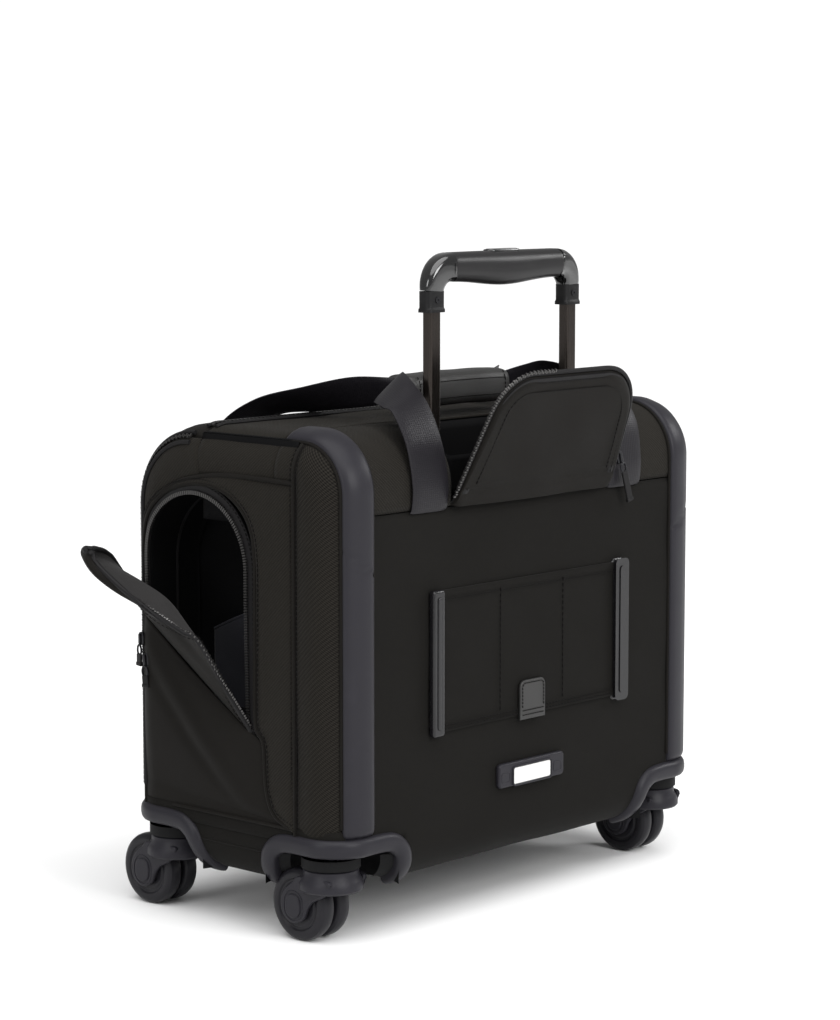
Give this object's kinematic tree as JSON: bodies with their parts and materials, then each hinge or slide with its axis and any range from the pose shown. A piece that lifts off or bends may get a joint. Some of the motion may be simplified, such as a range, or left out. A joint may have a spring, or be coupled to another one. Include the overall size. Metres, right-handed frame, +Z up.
{
  "type": "rolling laptop case",
  "caption": "Soft-sided rolling laptop case on swivelling twin-wheel casters, with telescoping pull handle, carry handles, open side pocket and folding back flap",
  "frame": {"origin": "on the floor, midway between the four caster swivel axes", "axes": "+Z up; +Y towards the back, where the telescoping handle stands; +X towards the side with the open pocket, which is the left side seen from the front"},
  "size_m": [0.528, 0.286, 0.494],
  "materials": {
    "body_fabric": "dark woven nylon, matt",
    "mesh_fabric": "coarse woven nylon twill",
    "webbing": "ribbed webbing, slight sheen",
    "lining": "thin smooth lining",
    "grey_lining": "thin smooth lining",
    "wrap_leather": "padded, fine grain",
    "tab_leather": "stitched tab",
    "slate_plastic": "satin moulding",
    "black_plastic": "fine texture",
    "gloss_black": "polished",
    "wheel_plastic": "satin",
    "tube_metal": "anodised",
    "steel": "ground pin",
    "zip_metal": "dark coated",
    "board": "pressed board",
    "card_white": "plain card"
  },
  "bodies": {
    "case": {"base_tray": "body_fabric", "back_panel": "body_fabric", "back_yoke": "body_fabric", "top_panel": "body_fabric", "side_band_left": "mesh_fabric", "side_band_right": "mesh_fabric", "side_panel_left": "body_fabric", "side_panel_right": "body_fabric", "bumper_rail_left": "slate_plastic", "bumper_rail_right": "slate_plastic", "corner_housing_back_left": "slate_plastic", "corner_housing_back_right": "slate_plastic", "corner_housing_front_left": "slate_plastic", "corner_housing_front_right": "slate_plastic", "handle_well": "lining", "handle_foot_block": "black_plastic", "outer_tubes": "tube_metal", "side_pocket_liner": "lining", "right_pocket_panel": "body_fabric", "strap_panel": "body_fabric", "strap_panel_bars": "slate_plastic", "snap_tab": "tab_leather", "id_plate": "slate_plastic", "id_card": "card_white", "carry_strap_back": "webbing", "carry_wrap_back": "wrap_leather", "rear_board": "board", "laptop_sleeve": "grey_lining", "case_zip_pulls": "zip_metal"},
    "caster_back_left": {"fork_back_left": "slate_plastic", "axle_back_left": "steel"},
    "caster_back_right": {"fork_back_right": "slate_plastic", "axle_back_right": "steel"},
    "caster_front_left": {"fork_front_left": "slate_plastic", "axle_front_left": "steel"},
    "caster_front_right": {"fork_front_right": "slate_plastic", "axle_front_right": "steel"},
    "wheel_back_left_outer_turning": {"wheel_back_left_outer": "wheel_plastic"},
    "wheel_back_left_inner_turning": {"wheel_back_left_inner": "wheel_plastic"},
    "wheel_back_right_outer_turning": {"wheel_back_right_outer": "wheel_plastic"},
    "wheel_back_right_inner_turning": {"wheel_back_right_inner": "wheel_plastic"},
    "wheel_front_left_outer_turning": {"wheel_front_left_outer": "wheel_plastic"},
    "wheel_front_left_inner_turning": {"wheel_front_left_inner": "wheel_plastic"},
    "wheel_front_right_outer_turning": {"wheel_front_right_outer": "wheel_plastic"},
    "wheel_front_right_inner_turning": {"wheel_front_right_inner": "wheel_plastic"},
    "handle_stage_one": {"stage_one_tubes": "tube_metal"},
    "handle_stage_two": {"stage_two_tubes": "tube_metal"},
    "handle_grip": {"inner_tubes": "tube_metal", "grip_sleeves": "gloss_black", "grip_bar": "black_plastic", "grip_screws": "zip_metal"},
    "release_button": {"grip_button": "gloss_black"},
    "lid": {"front_lid": "body_fabric", "front_pocket": "body_fabric", "front_zip_pulls": "zip_metal", "carry_strap_front": "webbing", "carry_wrap_front": "wrap_leather"},
    "side_flap": {"side_pocket_flap": "body_fabric"},
    "back_flap_base": {"back_flap_lower": "body_fabric"},
    "back_flap_end": {"back_flap_upper": "body_fabric"}
  },
  "joints": [
    {"name": "handle_stage_one_slide", "type": "slide", "parent": "case", "child": "handle_stage_one", "axis": [0, 0, 1], "range_m": [0, 0.235]},
    {"name": "handle_stage_two_slide", "type": "slide", "parent": "handle_stage_one", "child": "handle_stage_two", "axis": [0, 0, 1], "range_m": [0, 0.235]},
    {"name": "handle_grip_slide", "type": "slide", "parent": "handle_stage_two", "child": "handle_grip", "axis": [0, 0, 1], "range_m": [-0.13, 0.105]},
    {"name": "release_button_press", "type": "slide", "parent": "handle_grip", "child": "release_button", "axis": [0, 0, -1], "range_m": [0, 0.003], "stiffness_N_per_m": 300, "springref_m": -0.001},
    {"name": "caster_back_left_swivel", "type": "hinge", "parent": "case", "child": "caster_back_left", "pos_m": [0.186, 0.08, 0.055], "axis": [0, 0, 1], "continuous": true},
    {"name": "wheel_back_left_outer_spin", "type": "hinge", "parent": "caster_back_left", "child": "wheel_back_left_outer_turning", "pos_m": [0.186, 0.06, 0.027], "axis": [1, 0, 0], "continuous": true},
    {"name": "wheel_back_left_inner_spin", "type": "hinge", "parent": "caster_back_left", "child": "wheel_back_left_inner_turning", "pos_m": [0.186, 0.06, 0.027], "axis": [1, 0, 0], "continuous": true},
    {"name": "caster_back_right_swivel", "type": "hinge", "parent": "case", "child": "caster_back_right", "pos_m": [-0.186, 0.08, 0.055], "axis": [0, 0, 1], "continuous": true},
    {"name": "wheel_back_right_outer_spin", "type": "hinge", "parent": "caster_back_right", "child": "wheel_back_right_outer_turning", "pos_m": [-0.186, 0.06, 0.027], "axis": [1, 0, 0], "continuous": true},
    {"name": "wheel_back_right_inner_spin", "type": "hinge", "parent": "caster_back_right", "child": "wheel_back_right_inner_turning", "pos_m": [-0.186, 0.06, 0.027], "axis": [1, 0, 0], "continuous": true},
    {"name": "caster_front_left_swivel", "type": "hinge", "parent": "case", "child": "caster_front_left", "pos_m": [0.186, -0.08, 0.055], "axis": [0, 0, 1], "continuous": true},
    {"name": "wheel_front_left_outer_spin", "type": "hinge", "parent": "caster_front_left", "child": "wheel_front_left_outer_turning", "pos_m": [0.186, -0.1, 0.027], "axis": [1, 0, 0], "continuous": true},
    {"name": "wheel_front_left_inner_spin", "type": "hinge", "parent": "caster_front_left", "child": "wheel_front_left_inner_turning", "pos_m": [0.186, -0.1, 0.027], "axis": [1, 0, 0], "continuous": true},
    {"name": "caster_front_right_swivel", "type": "hinge", "parent": "case", "child": "caster_front_right", "pos_m": [-0.186, -0.08, 0.055], "axis": [0, 0, 1], "continuous": true},
    {"name": "wheel_front_right_outer_spin", "type": "hinge", "parent": "caster_front_right", "child": "wheel_front_right_outer_turning", "pos_m": [-0.186, -0.1, 0.027], "axis": [1, 0, 0], "continuous": true},
    {"name": "wheel_front_right_inner_spin", "type": "hinge", "parent": "caster_front_right", "child": "wheel_front_right_inner_turning", "pos_m": [-0.186, -0.1, 0.027], "axis": [1, 0, 0], "continuous": true},
    {"name": "lid_fold", "type": "hinge", "parent": "case", "child": "lid", "pos_m": [0, -0.107, 0.09], "axis": [1, 0, 0], "range_deg": [0, 85]},
    {"name": "back_flap_fold", "type": "hinge", "parent": "case", "child": "back_flap_base", "pos_m": [0, 0.11, 0.312], "axis": [-1, 0, 0], "range_deg": [-24, 88]},
    {"name": "back_flap_end_fold", "type": "hinge", "parent": "back_flap_base", "child": "back_flap_end", "pos_m": [0, 0.1279, 0.3522], "axis": [-1, 0, 0], "range_deg": [-62, 0]},
    {"name": "side_flap_fold", "type": "hinge", "parent": "case", "child": "side_flap", "pos_m": [0.208, -0.035, 0.189], "axis": [0, 0.8253, -0.5647], "range_deg": [-58, 32]}
  ]
}
